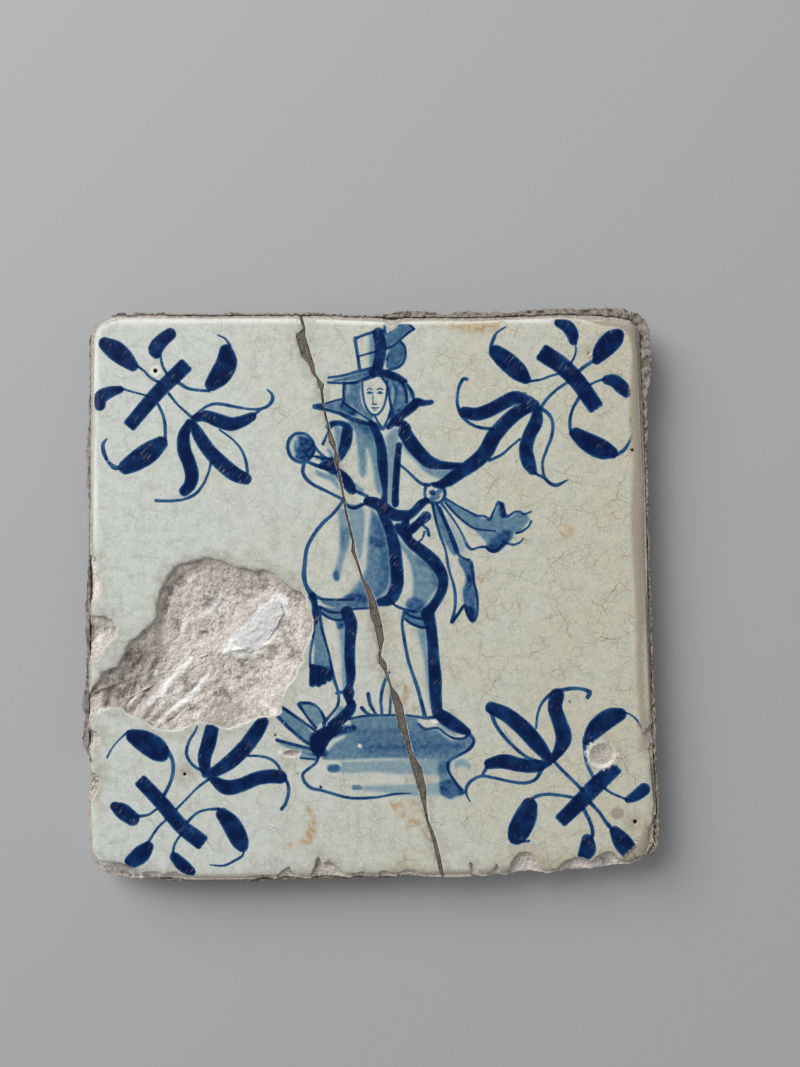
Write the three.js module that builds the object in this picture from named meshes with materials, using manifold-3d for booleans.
// Wall tile of tin-glazed earthenware, broken in two and joined again, with its losses and old mortar.
// Millimetres. The tile lies on its back: +X to the right of the painted face, +Y towards its top,
// +Z out of the glaze. The origin is on the back, at the middle of the square.
import * as THREE from 'three';
import { mergeVertices } from 'three/addons/utils/BufferGeometryUtils.js';
import Module from 'manifold-3d';

// Driving dimensions of the tile
const TILE_SIDE = 130;
const CLAY_THICKNESS = 8.2;
const GLAZE_THICKNESS = 0.7;
const SIDE_DRAFT = 1.3; // each side slants in this far towards the back, so that faces meet tight
const GLAZE_EDGE_RADIUS = 0.4;

// The break and the joint that fills it
const BREAK_GAP = 0.5; // between the two fragments of clay
const FILLER_CLEARANCE = 0.1;
const FILLER_RECESS = 0.2; // the filler's face below the glaze, and its foot above the back

// The large loss on the left: a shallow bowl in the clay with fanned ridges
const LOSS_DEPTH = 1.9; // below the clay's face, at the middle
const LOSS_RIM_DEPTH = 0.25;
const LOSS_FLARE = 0.35; // the broken glaze leans back this far
const LOSS_RINGS = 10;
const RIDGE_HEIGHT = 0.25;
const RIDGE_COUNT = 22; // in a full turn round RIDGE_PIVOT
const RIDGE_REACH = 52; // from the pivot to where they have faded

// The plaster that is left in the loss
const PLASTER_THICKNESS = 0.6;
const PLASTER_RIM = 0.25;
const PLASTER_RINGS = 4;
const PLASTER_CLEARANCE = 0.1;

// Chips, nail marks and mortar
const CHIP_RIM_DEPTH = 0.75; // below the glaze's face, where the clay starts
const CHIP_RINGS = 4;
const CHIP_FLARE = 0.12;
const SPALL_DEPTH = 1.1;
const NAIL_PIT_DEPTH = 0.5;
const NAIL_PIT_TAPER = 0.45; // the pit's foot as a share of its mouth
const MORTAR_FOOT = 1.1; // above the back
const MORTAR_CLEARANCE = 0.1;
const MORTAR_EDGE = 0.35; // its worn top edge
const MORTAR_TOP_RISE = 0.45; // each crust's top over the clay's face, or below it
const MORTAR_RIGHT_RISE = 0.4;
const MORTAR_BOTTOM_RISE = -0.6;
const MORTAR_LEFT_RISE = -0.3;
const MORTAR_GRIP = 2.4; // how far its outline runs in over the clay that it is cut to

// Outlines below are drawn on a tile of this side, from its middle, and follow TILE_SIDE
const DRAWN_SIDE = 130;
const DRAWN_SCALE = TILE_SIDE / DRAWN_SIDE;

// The break from top to bottom: [y, left edge, right edge] of the missing glaze
const BREAK_EDGES = [
  [66, -16.9, -15.9], [61.6, -15.3, -14.8], [59.9, -17.1, -14.8], [56.9, -16.3, -13.9],
  [54.8, -15.7, -13.3], [53.2, -14.1, -12.8], [50.8, -13.2, -12.4], [49.6, -12.2, -11.6],
  [48.3, -11.9, -10.4], [46.8, -11.3, -10.7], [42.8, -10.8, -10.4], [37.6, -9.5, -9.1],
  [34.9, -9.5, -7.9], [32.6, -8.1, -7.7], [30.6, -8.2, -6.9], [28.7, -7.6, -7.1],
  [24.1, -6.6, -6.2], [18.5, -5.7, -5.3], [11.7, -4.1, -3.7], [9.4, -4.4, -3.4],
  [6.4, -3, -2.6], [3.6, -2.2, -1.7], [1.2, -1.4, -0.3], [-1.6, -0.4, 1.1],
  [-5.2, -0.1, 2.1], [-7.6, 0.9, 2.7], [-10.8, 1.5, 3.1], [-13.2, 2, 2.6],
  [-14.6, 1.9, 2.3], [-16.4, 1.9, 3.6], [-18, 3, 3.8], [-21.7, 4.4, 4.8],
  [-23.4, 4.5, 6.2], [-26, 5.3, 7.3], [-30.9, 6.3, 8.2], [-34, 7.7, 8.8],
  [-37.2, 8.5, 9.6], [-40.4, 9.4, 11.6], [-44.8, 10.6, 12.5], [-49.2, 11.9, 12.6],
  [-52, 12.5, 12.9], [-56, 13.7, 14.6], [-60.5, 14.7, 15.7], [-66, 16, 16.7],
];

// The clay's face and the glaze on it, clockwise from the upper left corner
const CLAY_OUTLINE = [
  [-65, 59.5], [-64.6, 61.7], [-63.4, 63.4], [-61.7, 64.5], [-59.6, 64.9], [-50, 65], [-40, 64.8],
  [-28, 64.8], [-16, 64.7], [-6, 64.4], [2, 64], [12, 63.9], [24, 63.9], [34, 64], [44, 64.4],
  [52, 64.2], [58, 63.7], [61, 63], [62.6, 61.6], [63.3, 59.4], [63.4, 52], [63.7, 42], [63.9, 32],
  [64, 20], [64, 8], [64.2, -4], [64.4, -16], [64.6, -28], [64.7, -40], [65, -46], [65.1, -50.5],
  [64.8, -54.5], [64.4, -57.8], [63.6, -60], [61.8, -61.8], [59, -62.6], [54, -63.3], [48, -63.8],
  [42, -64.3], [34, -64.4], [26, -64.9], [18, -65.1], [8, -64.8], [0, -64.9], [-10, -65.1],
  [-20, -65.2], [-30, -65.3], [-40, -65.3], [-50, -65.1], [-57, -65.5], [-60.6, -65],
  [-62.8, -63.7], [-64.2, -61.8], [-64.7, -58.5], [-65, -50], [-64.9, -40], [-65, -28], [-65, -16],
  [-64.9, -4], [-65, 8], [-64.9, 20], [-65, 32], [-64.9, 44], [-65, 52],
];
const GLAZE_OUTLINE = [
  [-64.3, 59.5], [-63.9, 61.3], [-62.9, 62.8], [-61.4, 63.9], [-59.6, 64.4], [-52, 64.5],
  [-44, 64.3], [-36, 64.4], [-28, 64.2], [-20, 64.3], [-12, 64.1], [-6, 63.8], [0, 63.4],
  [8, 63.2], [16, 63.4], [24, 63.2], [32, 63.4], [39, 63.8], [46, 63.7], [51, 63.4], [56, 62.9],
  [59.5, 62.4], [61.4, 61.3], [62.3, 59.5], [62.6, 55], [62.8, 48], [63.1, 40], [63.3, 32],
  [63.5, 25], [63.3, 14], [63.4, 4], [63.6, -5], [63.8, -12], [64, -20], [64.2, -28],
  [64.1, -36], [64, -41], [64.3, -45], [64.6, -49], [64.3, -52.5], [63.6, -55.5], [63.2, -58],
  [62, -60.4], [59.8, -61.6], [57, -62.2], [52, -62.8], [46, -63.2], [40, -63.7], [34, -64],
  [26, -64.4], [18, -64.4], [12, -64.4], [6, -64.2], [0, -64.4], [-6, -64.4], [-14, -64.7],
  [-22, -64.6], [-30, -64.9], [-38, -64.9], [-44, -64.4], [-50, -64], [-56, -63.5],
  [-60.5, -62.6], [-62.8, -61], [-63.9, -58.5], [-64.2, -52], [-64.2, -45], [-64.3, -38],
  [-64.5, -30], [-64.5, -20], [-64.4, -10], [-64.3, 0], [-64.3, 8], [-64.4, 16], [-64.5, 25],
  [-64.6, 34], [-64.4, 42], [-64.4, 50], [-64.3, 56],
];

// The large loss, clockwise from the left side; every point is in sight of its middle
const LOSS_MIDDLE = [-37, -14];
const LOSS_OUTLINE = [
  [-67.5, -23.6], [-64.6, -22.6], [-63.8, -21.2], [-62.4, -19.7], [-61.5, -17.9], [-59.9, -17.2],
  [-58.4, -16.7], [-57.6, -15.2], [-56.6, -13.7], [-56.1, -12], [-54.9, -10.6], [-53.3, -9.8],
  [-52.6, -8.6], [-51.2, -7.8], [-50, -6.7], [-49.3, -5.2], [-49.4, -2.7], [-48.8, -0.7],
  [-48.4, 0.8], [-47.6, 2.3], [-46.6, 4], [-45.3, 6], [-43.9, 6.7], [-41.3, 7.2], [-38.2, 8.1],
  [-36.5, 7.9], [-34.7, 7.5], [-32.7, 6.7], [-31, 5.8], [-29, 5.7], [-27, 5], [-24.7, 5.3],
  [-22.5, 4.5], [-21, 3], [-19.2, 1.8], [-17.9, 0.7], [-16, 0], [-15, -1.4], [-14.8, -3.7],
  [-14, -4.7], [-13.3, -6.3], [-13.5, -8.8], [-14.2, -10.7], [-15, -12.3], [-15.9, -14.3],
  [-15.7, -15.8], [-17, -17.1], [-17.3, -18.8], [-18.4, -20.3], [-19.7, -22], [-20.5, -23.7],
  [-20.7, -25.4], [-20.6, -27.3], [-21.7, -28.1], [-24.7, -28.2], [-26.7, -28.6], [-28.3, -29.4],
  [-30.7, -30.1], [-32.7, -31], [-34.3, -30.7], [-36, -30], [-39.6, -29.3], [-42.3, -30.4],
  [-44.7, -31.3], [-48, -31.1], [-50, -30.6], [-51.4, -29.6], [-53, -28.6], [-54.7, -28],
  [-56.3, -27.2], [-57.2, -26], [-60.4, -26.1], [-62.4, -26.9], [-64, -28.3], [-67.5, -28.8],
];
const RIDGE_PIVOT = [-63, -43];
const PLASTER_MIDDLE = [-26.3, -8];
const PLASTER_OUTLINE = [
  [-20.9, -2.3], [-20.2, -4.7], [-21.6, -7.5], [-23.6, -10.7], [-25.1, -13], [-28.6, -13.7],
  [-32.2, -12.8], [-32.8, -11.3], [-30.3, -8.6], [-28, -6], [-25, -3.5], [-23, -1.9],
];

// Chips that break out over a side: the middle that each one's outline is in sight of, how deep it
// is there below the face, and its outline
const EDGE_CHIPS = [
  { middle: [-66.5, 2.8], depth: 2.4, outline: [
    [-68, -3.8], [-64, -3], [-63.2, -1.6], [-62.4, 0], [-61.9, 1.5], [-62.4, 3.4], [-63.3, 5],
    [-63, 7], [-63.5, 8.4], [-64.6, 9], [-68, 9.6]] },
  { middle: [-65.5, -9.6], depth: 1.8, outline: [
    [-68, -15.6], [-63, -15.3], [-61.8, -14], [-61.3, -12.1], [-60, -10.9], [-58.6, -9.4],
    [-58.6, -7.8], [-59.7, -6], [-61.3, -5.2], [-63.7, -5], [-68, -4]] },
  { middle: [-66.8, -33], depth: 2, outline: [
    [-68, -35.4], [-64, -35.1], [-62.6, -34.2], [-62.2, -32.8], [-63, -31.6], [-64.6, -30.9],
    [-68, -30.6]] },
  { middle: [-67, -38.5], depth: 1.6, outline: [
    [-68, -39.7], [-64.2, -39.3], [-63.4, -38.5], [-64.6, -37.8], [-68, -37.5]] },
  { middle: [-67, -43.8], depth: 2.2, outline: [
    [-68, -47.4], [-64, -47], [-63.2, -45.8], [-62.7, -44.3], [-62.2, -43], [-62.4, -41.7],
    [-63.6, -41], [-68, -40.8]] },
  { middle: [-60, -66], depth: 3, outline: [
    [-67, -67.5], [-53, -67.5], [-52.5, -64.4], [-53.3, -62.8], [-55.3, -62.2], [-57, -61.3],
    [-60, -61.2], [-62.8, -60.4], [-64.2, -59.8], [-67, -58.6]] },
  { middle: [-48, -66.8], depth: 1.9, outline: [
    [-53.6, -67.5], [-42.6, -67.5], [-42.7, -65.2], [-43.6, -64.1], [-44.7, -63.3], [-46.2, -63.6],
    [-47.8, -63.9], [-49.6, -63.3], [-51.2, -63.3], [-52.8, -64.2]] },
  { middle: [-24.7, -67], depth: 1.5, outline: [
    [-27.2, -67.5], [-22.2, -67.5], [-22.4, -65.4], [-23.2, -64.5], [-25, -64.2], [-26.6, -64.9]] },
  { middle: [-19, -66.6], depth: 1.7, outline: [
    [-22.2, -67.5], [-15.4, -67.5], [-15.6, -65.2], [-16.8, -64.2], [-18.2, -63.5], [-18.8, -62.4],
    [-20.4, -63.2], [-21.6, -64.3]] },
  { middle: [-10.4, -65.6], depth: 1.9, outline: [
    [-14.2, -67.5], [-5.8, -67.5], [-6, -64.4], [-7, -63.2], [-8.5, -61.9], [-9.9, -61.3],
    [-11.4, -61.6], [-11.9, -60.3], [-12.6, -60.7], [-13.1, -62.4], [-13.8, -64]] },
  { middle: [-2.3, -67], depth: 1.3, outline: [
    [-4.9, -67.5], [0.4, -67.5], [0.2, -65], [-0.8, -64.2], [-2.2, -63.6], [-3.4, -63.9],
    [-4.4, -64]] },
  { middle: [3, -67], depth: 1.4, outline: [
    [0.9, -67.5], [4.8, -67.5], [4.6, -65.2], [4.2, -64], [2.8, -63.4], [1.6, -63.8]] },
  { middle: [8.7, -67], depth: 1.4, outline: [
    [5.2, -67.5], [12.4, -67.5], [12, -64.9], [11, -64], [9.6, -63.4], [7.4, -63.4], [5.8, -64]] },
  { middle: [23.4, -66], depth: 1.4, outline: [
    [22.6, -67.5], [24.8, -67.5], [24.4, -64.2], [23.7, -63], [22.9, -61.9], [22.1, -61.6],
    [22.3, -62.4], [22.6, -64]] },
  { middle: [28.2, -66.4], depth: 1.5, outline: [
    [25.8, -67.5], [30.2, -67.5], [29.8, -64.3], [29.2, -63.4], [28.5, -62], [27.4, -63.5],
    [26.4, -64.2]] },
  { middle: [35, -65.6], depth: 2.1, outline: [
    [30.6, -67.5], [39.6, -67.5], [39.2, -63.6], [38, -62.4], [37.2, -60.9], [36.3, -59.8],
    [35, -59.3], [33.7, -59.7], [32.6, -60.5], [31.8, -62.1], [31, -63.9]] },
  { middle: [46, -65.4], depth: 2, outline: [
    [40.6, -67.5], [51, -67.5], [50.6, -62.6], [49.6, -61.5], [48, -60.9], [46.2, -60.7],
    [44.2, -61.6], [42.4, -63], [41, -63.8]] },
  { middle: [54.2, -65], depth: 2.2, outline: [
    [49.2, -67.5], [59, -67.5], [58.6, -62.2], [57.4, -61.4], [56.2, -61], [55.4, -59.9],
    [54.2, -59.4], [52.5, -59.8], [51.2, -60.6], [49.6, -62]] },
  { middle: [63.6, -63.6], depth: 1.8, outline: [
    [57.8, -67.5], [67, -67.5], [67, -57], [64, -57.8], [63, -59.6], [61.6, -60.4], [60.2, -60.8],
    [58.4, -61.9]] },
  { middle: [66.6, -54.8], depth: 1.6, outline: [
    [67.5, -58], [67.5, -51], [64.4, -51.4], [63.8, -53], [63.2, -55], [63.4, -56.6]] },
  { middle: [67, -37.4], depth: 1.4, outline: [
    [67.5, -39.6], [67.5, -35], [63.9, -35.1], [63.4, -36.4], [63.8, -38], [64.2, -39.5]] },
  { middle: [66.6, -32.6], depth: 1.9, outline: [
    [67.5, -35.2], [67.5, -30], [64.4, -30.6], [63, -31.7], [62.5, -32.8], [63.2, -34],
    [64.2, -34.9]] },
  { middle: [5.5, 65.8], depth: 1.6, outline: [
    [3, 67.5], [3.3, 63.4], [4.2, 62.4], [5, 61.8], [5.7, 62.3], [6.4, 61.9], [7.1, 62.6],
    [8, 63.2], [8.3, 67.5]] },
];
// Chips inside the face: [x, y, reach along X, reach along Y]
const SPALLS = [
  [52.9, -37.7, 3, 2.75], [-18.2, -36.8, 2.1, 0.8],
];
// Marks of the cutting template's nails: [x, y, radius]
const NAIL_MARKS = [
  [-49.8, 51.8, 0.6], [51.3, 55.2, 0.7], [-42.7, -41.3, 0.5], [60.1, -52.7, 0.6],
];
// Old mortar on the tile's sides: how far its top rises over the clay's face, which way it runs in
// over the clay that it is cut to, and its outer edge
const MORTAR_STRIPS = [
  { name: 'mortar_top', rise: MORTAR_TOP_RISE, inward: [0, -1], outer: [
    [-60.5, 65.1], [-58, 65.4], [-55, 65.3], [-52, 65.3], [-48.5, 65.6], [-46, 65.3], [-42, 65.5],
    [-38, 65.3], [-34, 65.3], [-32.2, 65.9], [-30.4, 65.7], [-28.6, 65.2], [-25, 65.4], [-21, 65.3],
    [-17.4, 65.1], [-15.6, 65.4], [-14, 65.8], [-12.4, 65.6], [-10.6, 65.1], [-6, 64.9], [0, 64.6],
    [3, 65], [5, 65.4], [7.4, 65.7], [10, 65.8], [13, 65.7], [15.4, 65.4], [17, 64.8], [18.6, 65],
    [20.4, 65.6], [23, 65.7], [25.6, 65.4], [28, 65.1], [30, 65.6], [32, 65.1], [35, 65.5],
    [38, 65.8], [42, 66], [46, 66.1], [50, 65.9], [54, 66.1], [58, 66], [60, 65.8], [61, 65.4]] },
  { name: 'mortar_right', rise: MORTAR_RIGHT_RISE, inward: [-1, 0], outer: [
    [61.3, 62.4], [61.3, 65.3], [63, 64.8], [64.5, 63.5], [65.3, 61.8], [65.8, 59.8], [65.9, 56],
    [66, 52.5], [65.8, 49.5], [65.4, 47.2], [64.9, 45], [64.8, 41], [64.9, 36], [64.7, 30],
    [64.9, 24], [64.7, 18], [64.9, 12], [64.8, 6], [65.1, 0], [65, -6], [65.3, -12], [65.2, -20],
    [65.5, -27], [65.7, -34], [65.5, -39], [65.9, -44], [66, -49], [66.1, -53], [66, -56],
    [65.4, -58.6], [64.3, -60.6]] },
  { name: 'mortar_bottom', rise: MORTAR_BOTTOM_RISE, inward: [0, 1], outer: [
    [7, -65.3], [4, -65.7], [1, -65.5], [-3, -65.7], [-6, -65.9], [-9, -65.7], [-12, -65.7],
    [-18, -65.8], [-22, -66], [-25, -66.2], [-27.8, -66.5], [-30, -66], [-35, -65.9], [-40, -66],
    [-42.6, -66.1], [-45, -65.8], [-50, -65.7]] },
  { name: 'mortar_left', rise: MORTAR_LEFT_RISE, inward: [1, 0], outer: [
    [-65.3, -37], [-65.9, -35.8], [-66.7, -34.4], [-66.9, -33.2], [-66.4, -31.8], [-66.3, -28.2],
    [-66.8, -25.5], [-66.5, -21.4], [-66.1, -18],
    [-65.8, -13.6], [-66.3, -9], [-66, -6], [-66.3, -3], [-66.3, 1.2], [-65.8, 4.4], [-65.6, 9],
    [-65.6, 16], [-65.7, 22], [-66.1, 25], [-65.9, 30.3], [-66.4, 32.5], [-65.9, 38.5],
    [-65.6, 41], [-65.9, 45.5], [-65.6, 50], [-65.7, 55], [-65.5, 58.5], [-65.3, 60.4],
    [-64.8, 62], [-63.9, 63.3]] },
];

const HALF_SIDE = TILE_SIDE / 2;
const FACE_HEIGHT = CLAY_THICKNESS + GLAZE_THICKNESS;
const FAR = TILE_SIDE; // from the middle, well past the tile, where cutting solids end
const CUT_OVER = 0.4; // how far they run over the face

const wasm = await Module();
wasm.setup();

// A closed three.js geometry as a solid that can be cut and joined.
function solidFrom(geometry) {
  const bare = geometry.clone();
  bare.deleteAttribute('normal');
  bare.deleteAttribute('uv');
  const merged = mergeVertices(bare);
  return new wasm.Manifold(new wasm.Mesh({
    numProp: 3,
    vertProperties: merged.attributes.position.array,
    triVerts: new Uint32Array(merged.index.array),
  }));
}

// A finished solid as a named mesh with flat facets.
function meshFrom(name, solid, material) {
  const { vertProperties, triVerts } = solid.getMesh();
  const geometry = new THREE.BufferGeometry();
  geometry.setAttribute('position', new THREE.BufferAttribute(vertProperties, 3));
  geometry.setIndex(new THREE.BufferAttribute(triVerts, 1));
  const faceted = geometry.toNonIndexed();
  faceted.computeVertexNormals();
  const mesh = new THREE.Mesh(faceted, material);
  mesh.name = name;
  return mesh;
}

const drawn = ([x, y]) => new THREE.Vector2(x * DRAWN_SCALE, y * DRAWN_SCALE);

function prism(points, bottom, top) {
  const geometry = new THREE.ExtrudeGeometry(new THREE.Shape(points), {
    depth: top - bottom, bevelEnabled: false,
  });
  return solidFrom(geometry.translate(0, 0, bottom));
}

// An outline carried up through levels: [height, how far it is drawn in towards the tile's middle].
function lofted(outline, levels) {
  const count = outline.length;
  const points = levels.flatMap(([height, inset]) => outline.flatMap((corner) => {
    const share = 1 - inset / HALF_SIDE;
    return [corner.x * share, corner.y * share, height];
  }));
  const caps = THREE.ShapeUtils.triangulateShape(outline, []);
  const top = (levels.length - 1) * count;
  const faces = caps.flatMap(([a, b, c]) => [a, c, b, top + a, top + b, top + c]);
  for (let level = 0; level < levels.length - 1; level += 1) {
    for (let i = 0; i < count; i += 1) {
      const [a, b] = [level * count + i, level * count + (i + 1) % count];
      faces.push(a, b, b + count, a, b + count, a + count);
    }
  }
  const geometry = new THREE.BufferGeometry();
  geometry.setAttribute('position', new THREE.Float32BufferAttribute(points, 3));
  geometry.setIndex(faces);
  return solidFrom(geometry);
}

// An outline as the anticlockwise ring that lofted needs, grown sideways by a margin.
function ring(outline, margin = 0) {
  const section = new wasm.CrossSection([outline.map(drawn).map(({ x, y }) => [x, y])], 'NonZero');
  const clockwise = THREE.ShapeUtils.isClockWise(outline.map(drawn));
  if (margin === 0) return clockwise ? outline.map(drawn).reverse() : outline.map(drawn);
  const [grown] = section.offset(margin, 'Miter', 2).toPolygons();
  return grown.map(([x, y]) => new THREE.Vector2(x, y));
}

// The whole clay slab, grown sideways by a margin and run on upwards: it tapers towards the back.
function claySlab(margin = 0, runOn = 0) {
  const levels = [[0, SIDE_DRAFT], [CLAY_THICKNESS, 0]];
  if (runOn > 0) levels.push([CLAY_THICKNESS + runOn, 0]);
  return lofted(ring(CLAY_OUTLINE, margin), levels);
}

// The whole coat of glaze, with its rounded rim, on the clay's face.
function glazeCoat() {
  const start = FACE_HEIGHT - GLAZE_EDGE_RADIUS;
  const arc = [0, 30, 60, 90].map((degrees) => {
    const turn = THREE.MathUtils.degToRad(degrees);
    return [
      start + GLAZE_EDGE_RADIUS * Math.sin(turn), GLAZE_EDGE_RADIUS * (1 - Math.cos(turn)),
    ];
  });
  return lofted(ring(GLAZE_OUTLINE), [[CLAY_THICKNESS, 0], ...arc]);
}

// One edge of the break (side -1 left, 1 right), run straight on past the tile at both ends.
function breakEdge(side, widthAt, clearance) {
  const edge = BREAK_EDGES.map(([y, left, right]) => {
    const middle = DRAWN_SCALE * (left + right) / 2;
    const reach = widthAt(DRAWN_SCALE * (right - left)) / 2 - clearance;
    return new THREE.Vector2(middle + side * reach, y * DRAWN_SCALE);
  });
  const start = new THREE.Vector2(edge[0].x, FAR);
  const end = new THREE.Vector2(edge.at(-1).x, -FAR);
  return [start, ...edge, end];
}

// Through the clay the break is one even gap. Through the glaze it is chipped wider, never narrower.
function clayBreakEdge(side, clearance = 0) {
  return breakEdge(side, () => BREAK_GAP, clearance);
}
function glazeBreakEdge(side, clearance = 0) {
  return breakEdge(side, (chipped) => Math.max(chipped, BREAK_GAP), clearance);
}

// Everything on one side of a break edge.
function fragmentRegion(side, edge) {
  const corners = [new THREE.Vector2(side * FAR, -FAR), new THREE.Vector2(side * FAR, FAR)];
  return prism([...edge, ...corners], -FAR, FAR);
}

// How far a point lies from the middle of a loss towards its outline: 0 in the middle, 1 on it.
function shareOf(outline, middle, x, y) {
  const way = new THREE.Vector2(x, y).sub(middle);
  if (way.length() < 1e-6) return 0;
  for (let i = 0; i < outline.length; i += 1) {
    const start = outline[i].clone().sub(middle);
    const edge = outline[(i + 1) % outline.length].clone().sub(middle).sub(start);
    const turn = way.cross(edge);
    const reach = start.cross(edge) / turn;
    const along = start.cross(way) / turn;
    if (reach > 0 && along >= 0 && along <= 1) return 1 / reach;
  }
  return 1;
}

// A solid between two surfaces over an outline that is in sight of its middle.
function solidOver(outline, middle, rings, lower, upper, flare = 0) {
  const count = outline.length;
  const points = [];
  const faces = [];
  const addSurface = (surface, lean) => {
    const first = points.length / 3;
    points.push(middle.x, middle.y, surface(middle.x, middle.y));
    for (let ring = 1; ring <= rings; ring += 1) {
      outline.forEach((corner) => {
        const way = corner.clone().sub(middle);
        way.multiplyScalar(ring / rings * (1 + lean / way.length()));
        const at = way.add(middle);
        points.push(at.x, at.y, surface(at.x, at.y));
      });
    }
    return first;
  };
  const addFaces = (first, upward) => {
    for (let i = 0; i < count; i += 1) {
      const next = (i + 1) % count;
      const corners = [[first, first + 1 + i, first + 1 + next]];
      for (let ring = 1; ring < rings; ring += 1) {
        const inner = first + 1 + (ring - 1) * count;
        const outer = inner + count;
        corners.push([inner + i, outer + i, outer + next], [inner + i, outer + next, inner + next]);
      }
      corners.forEach(([a, b, c]) => faces.push(...(upward ? [a, c, b] : [a, b, c])));
    }
  };
  const foot = addSurface(lower, 0);
  const head = addSurface(upper, flare);
  addFaces(foot, false);
  addFaces(head, true);
  const rim = 1 + (rings - 1) * count;
  for (let i = 0; i < count; i += 1) {
    const next = (i + 1) % count;
    const [a, b, c, d] = [foot + rim + i, foot + rim + next, head + rim + next, head + rim + i];
    faces.push(a, c, b, a, d, c);
  }
  const geometry = new THREE.BufferGeometry();
  geometry.setAttribute('position', new THREE.Float32BufferAttribute(points, 3));
  geometry.setIndex(faces);
  return solidFrom(geometry);
}

// The large loss
const lossOutline = LOSS_OUTLINE.map(drawn);
const lossMiddle = drawn(LOSS_MIDDLE);
const ridgePivot = drawn(RIDGE_PIVOT);

function lossFloor(x, y) {
  const share = Math.min(shareOf(lossOutline, lossMiddle, x, y), 1);
  const bowl = (LOSS_DEPTH - LOSS_RIM_DEPTH) * (1 - share ** 4);
  const way = new THREE.Vector2(x, y).sub(ridgePivot);
  const faded = Math.max(0, 1 - way.length() / RIDGE_REACH);
  const ridge = RIDGE_HEIGHT * Math.cos(RIDGE_COUNT * way.angle()) * faded * (1 - share);
  return CLAY_THICKNESS - LOSS_RIM_DEPTH - bowl + ridge;
}

const aboveFace = () => FACE_HEIGHT + CUT_OVER;
const largeLoss = solidOver(lossOutline, lossMiddle, LOSS_RINGS, lossFloor, aboveFace, LOSS_FLARE);

// A chip that breaks out over a side: a shell whose floor starts where the glaze ends.
function edgeChip({ middle, depth, outline }) {
  const points = outline.map(drawn);
  const centre = drawn(middle);
  const floor = (x, y) => {
    const share = Math.min(shareOf(points, centre, x, y), 1);
    return FACE_HEIGHT - CHIP_RIM_DEPTH - (depth - CHIP_RIM_DEPTH) * (1 - share ** 2);
  };
  const clockwise = THREE.ShapeUtils.isClockWise(points) ? points : [...points].reverse();
  return solidOver(clockwise, centre, CHIP_RINGS, floor, aboveFace, CHIP_FLARE);
}

// A shell-shaped chip inside the face: half an ellipsoid under the glaze's face.
function spall([x, y, alongX, alongY]) {
  const geometry = new THREE.SphereGeometry(1, 18, 10).rotateX(Math.PI / 2);
  geometry.scale(alongX * DRAWN_SCALE, alongY * DRAWN_SCALE, SPALL_DEPTH);
  return solidFrom(geometry.translate(x * DRAWN_SCALE, y * DRAWN_SCALE, FACE_HEIGHT));
}

function nailPit([x, y, radius]) {
  const height = NAIL_PIT_DEPTH + CUT_OVER;
  const geometry = new THREE.CylinderGeometry(radius, radius * NAIL_PIT_TAPER, height, 12);
  geometry.rotateX(Math.PI / 2);
  return solidFrom(geometry.translate(
    x * DRAWN_SCALE, y * DRAWN_SCALE, FACE_HEIGHT + CUT_OVER - height / 2,
  ));
}

const damage = [
  largeLoss,
  ...EDGE_CHIPS.map(edgeChip),
  ...SPALLS.map(spall),
  ...NAIL_MARKS.map(nailPit),
].reduce((all, one) => all.add(one));

// The two fragments of clay and their glaze
const clay = claySlab().subtract(damage);
const glaze = glazeCoat().subtract(damage);
const clayLeft = clay.intersect(fragmentRegion(-1, clayBreakEdge(-1)));
const clayRight = clay.intersect(fragmentRegion(1, clayBreakEdge(1)));
const glazeLeft = glaze.intersect(fragmentRegion(-1, glazeBreakEdge(-1)));
const glazeRight = glaze.intersect(fragmentRegion(1, glazeBreakEdge(1)));

// The filler: a thin web between the fragments, and a cap that fills the chipped glaze over them.
function breakFiller() {
  const web = prism(
    [...clayBreakEdge(-1, FILLER_CLEARANCE), ...clayBreakEdge(1, FILLER_CLEARANCE).reverse()],
    FILLER_RECESS, FACE_HEIGHT - FILLER_RECESS,
  );
  const cap = prism(
    [...glazeBreakEdge(-1, FILLER_CLEARANCE), ...glazeBreakEdge(1, FILLER_CLEARANCE).reverse()],
    CLAY_THICKNESS, FACE_HEIGHT - FILLER_RECESS,
  );
  const body = claySlab(-FILLER_RECESS);
  const face = glazeCoat();
  return web.intersect(body).add(cap.intersect(face)).subtract(damage);
}

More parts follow.
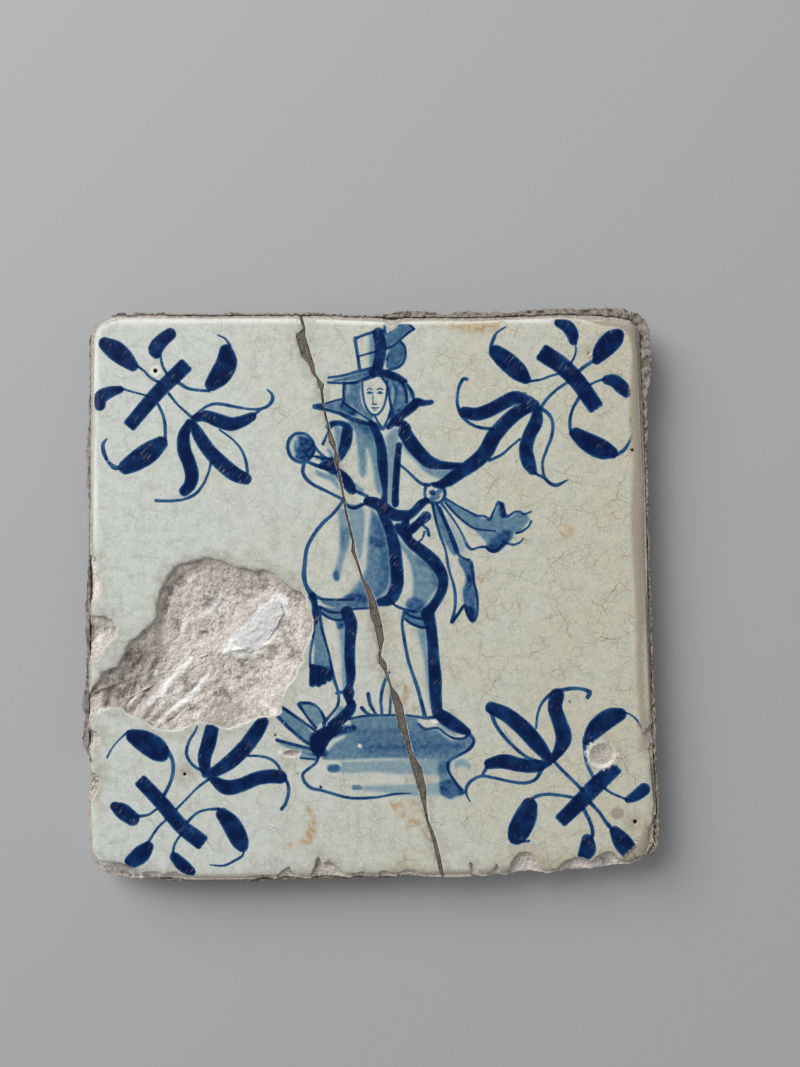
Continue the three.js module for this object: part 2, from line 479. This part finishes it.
// The plaster in the loss: a low dome whose foot follows the broken clay.
function plasterPatch() {
  const outline = PLASTER_OUTLINE.map(drawn);
  const middle = drawn(PLASTER_MIDDLE);
  const crown = (x, y) => {
    const share = shareOf(outline, middle, x, y);
    const dome = (PLASTER_THICKNESS - PLASTER_RIM) * (1 - share ** 2);
    return lossFloor(x, y) + PLASTER_CLEARANCE + PLASTER_RIM + dome;
  };
  const deep = () => CLAY_THICKNESS - LOSS_DEPTH - RIDGE_HEIGHT - PLASTER_RIM;
  const dome = solidOver(outline, middle, PLASTER_RINGS, deep, crown);
  return dome.subtract(clayLeft.translate(0, 0, PLASTER_CLEARANCE));
}

// One crust of mortar along a side, with a worn top, cut to the tile's slanted side.
function mortarStrip({ rise, inward, outer }) {
  const top = CLAY_THICKNESS + rise;
  const [first, last] = [outer[0], outer.at(-1)];
  const inner = [last, first].map(([x, y]) => [
    x + inward[0] * MORTAR_GRIP, y + inward[1] * MORTAR_GRIP,
  ]);
  const levels = [
    [MORTAR_FOOT, 2 * MORTAR_EDGE], [(MORTAR_FOOT + top) / 2, MORTAR_EDGE / 3],
    [top - MORTAR_EDGE, 0], [top, MORTAR_EDGE],
  ];
  const crust = lofted(ring([...outer, ...inner]), levels);
  return crust.subtract(claySlab(MORTAR_CLEARANCE, FACE_HEIGHT - CLAY_THICKNESS + CUT_OVER));
}

// Materials
function ceramic(color, roughness) {
  return new THREE.MeshStandardMaterial({ color, roughness, metalness: 0 });
}
const tile = new THREE.Group();
tile.add(meshFrom('clay_left', clayLeft, ceramic(0xb9a08c, 0.9)));
tile.add(meshFrom('clay_right', clayRight, ceramic(0xb9a08c, 0.9)));
tile.add(meshFrom('glaze_left', glazeLeft, ceramic(0xc9cfc2, 0.18)));
tile.add(meshFrom('glaze_right', glazeRight, ceramic(0xc9cfc2, 0.18)));
tile.add(meshFrom('break_filler', breakFiller(), ceramic(0x77705f, 0.95)));
tile.add(meshFrom('plaster_patch', plasterPatch(), ceramic(0xdcd8d0, 0.95)));
MORTAR_STRIPS.forEach((strip) => {
  tile.add(meshFrom(strip.name, mortarStrip(strip), ceramic(0x8f8477, 0.95)));
});

export default tile;
